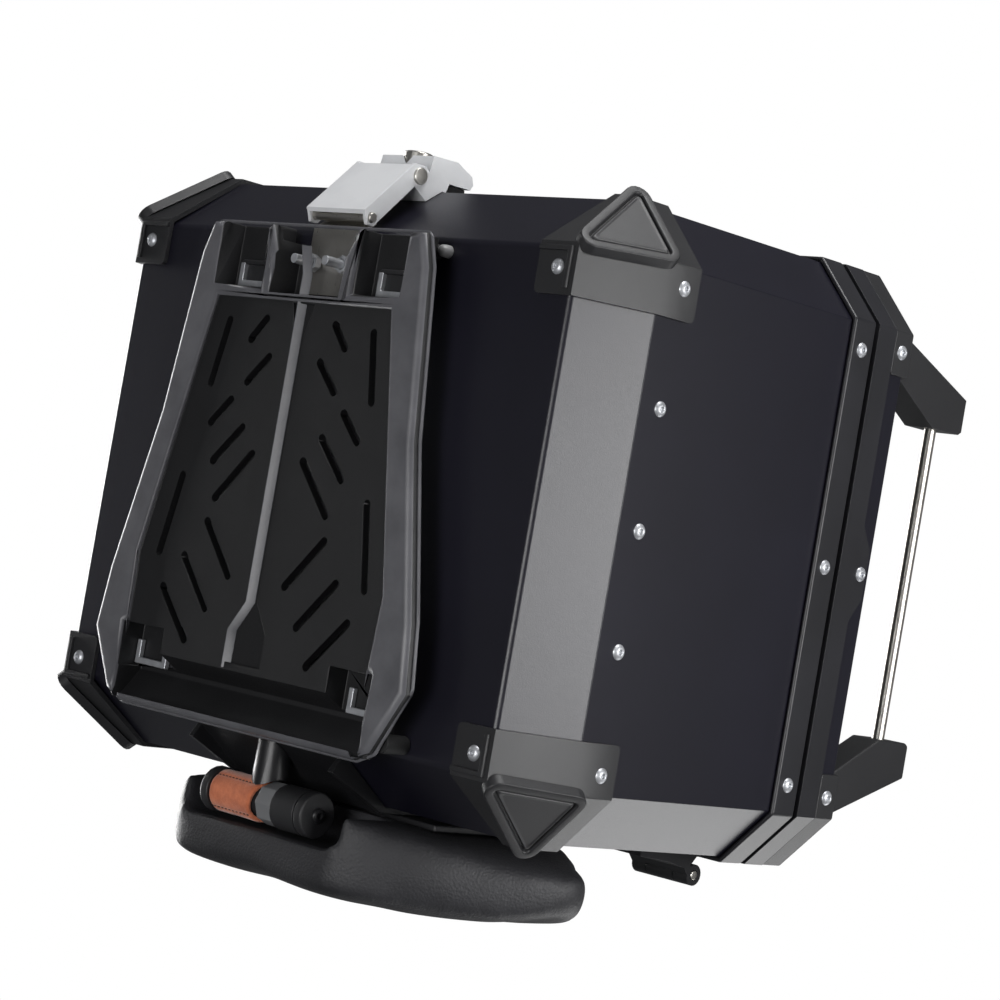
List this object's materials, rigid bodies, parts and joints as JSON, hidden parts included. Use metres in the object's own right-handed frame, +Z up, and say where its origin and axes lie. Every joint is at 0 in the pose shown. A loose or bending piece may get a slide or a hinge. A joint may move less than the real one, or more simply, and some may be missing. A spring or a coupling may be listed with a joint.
{
  "type": "motorcycle top case",
  "caption": "Aluminium motorcycle top case with hinged lid, tie-down rails, corner guards, quick-release base plate, base latch, grip and foam backrest",
  "frame": {"origin": "middle of the bounding box's bottom face, under the base plate's feet", "axes": "+Z up, lid on top; +Y forward, backrest and grip; -Y the rear, base latch and lid lock; +X the right side"},
  "size_m": [0.4392, 0.451, 0.403],
  "materials": {
    "powder_coat": "fine-textured dark navy powder coat on aluminium sheet",
    "rim_black": "satin black coated extrusion with brighter edges",
    "moulded_black": "satin black moulded plastic",
    "plate_black": "fine-grained black moulded plastic",
    "bracket_black": "satin black paint",
    "rubber": "matt black rubber",
    "steel": "polished and brushed stainless steel",
    "silver_coat": "silver coat, satin",
    "grey_collar": "grey satin plastic",
    "suede": "rust-coloured suede",
    "skinned_foam": "integral-skin foam with a fine pebbled skin"
  },
  "bodies": {
    "root": {"bottom_tray": "powder_coat", "wall_shell": "powder_coat", "body_rim": "rim_black", "guard_rear_left": "moulded_black", "guard_rear_right": "moulded_black", "guard_front_left": "moulded_black", "guard_front_right": "moulded_black", "backrest_board": "moulded_black", "grip_sleeve": "moulded_black", "grip_end_left": "moulded_black", "grip_end_right": "moulded_black", "grip_core": "moulded_black", "base_plate": "plate_black", "front_bracket": "bracket_black", "grip_neck": "bracket_black", "hinge_body_left": "bracket_black", "hinge_body_right": "bracket_black", "lid_seal": "rubber", "latch_rest": "rubber", "standoff_rear_left": "rubber", "standoff_rear_right": "rubber", "standoff_front_left": "rubber", "standoff_front_right": "rubber", "strike": "steel", "strike_bolt_left": "steel", "strike_bolt_right": "steel", "strike_nut_left": "steel", "strike_nut_right": "steel", "hinge_pin_left": "steel", "hinge_pin_right": "steel", "catch_rear_left": "steel", "catch_rear_right": "steel", "catch_front_left": "steel", "catch_front_right": "steel", "latch_base": "silver_coat", "lid_lock_keeper": "silver_coat", "grip_collar": "grey_collar", "grip_wrap": "suede", "backrest_pad": "skinned_foam"},
    "lid": {"lid_shell": "powder_coat", "lid_rim": "rim_black", "lid_lock_housing": "silver_coat", "lid_cap_rear_left": "moulded_black", "lid_cap_rear_right": "moulded_black", "lid_cap_front_left": "moulded_black", "lid_cap_front_right": "moulded_black", "rail_bracket_rear_left": "moulded_black", "rail_bracket_rear_right": "moulded_black", "rail_bracket_front_left": "moulded_black", "rail_bracket_front_right": "moulded_black", "rail_bar_left": "steel", "rail_bar_right": "steel", "hinge_lid_left": "bracket_black", "hinge_lid_right": "bracket_black"},
    "latch_lever": {"latch_lever": "silver_coat", "latch_pivot_pin": "steel", "latch_hook_pin": "steel"},
    "latch_lock": {"latch_lock_cylinder": "steel"},
    "lid_lock": {"lid_lock_cylinder": "steel", "lid_lock_cam": "steel"}
  },
  "joints": [
    {"name": "lid_hinge", "type": "hinge", "parent": "root", "child": "lid", "pos_m": [0, 0.18595, 0.27775], "axis": [-1, 0, 0], "range_deg": [0, 100]},
    {"name": "latch_lever_pivot", "type": "hinge", "parent": "root", "child": "latch_lever", "pos_m": [0, -0.20705, 0.0536], "axis": [-1, 0, 0], "range_deg": [0, 90]},
    {"name": "latch_lock_turn", "type": "hinge", "parent": "root", "child": "latch_lock", "pos_m": [0, -0.22555, 0.074], "axis": [0, -1, 0], "range_deg": [0, 90]},
    {"name": "lid_lock_turn", "type": "hinge", "parent": "lid", "child": "lid_lock", "pos_m": [0, -0.20205, 0.29], "axis": [0, -1, 0], "range_deg": [0, 90]}
  ]
}
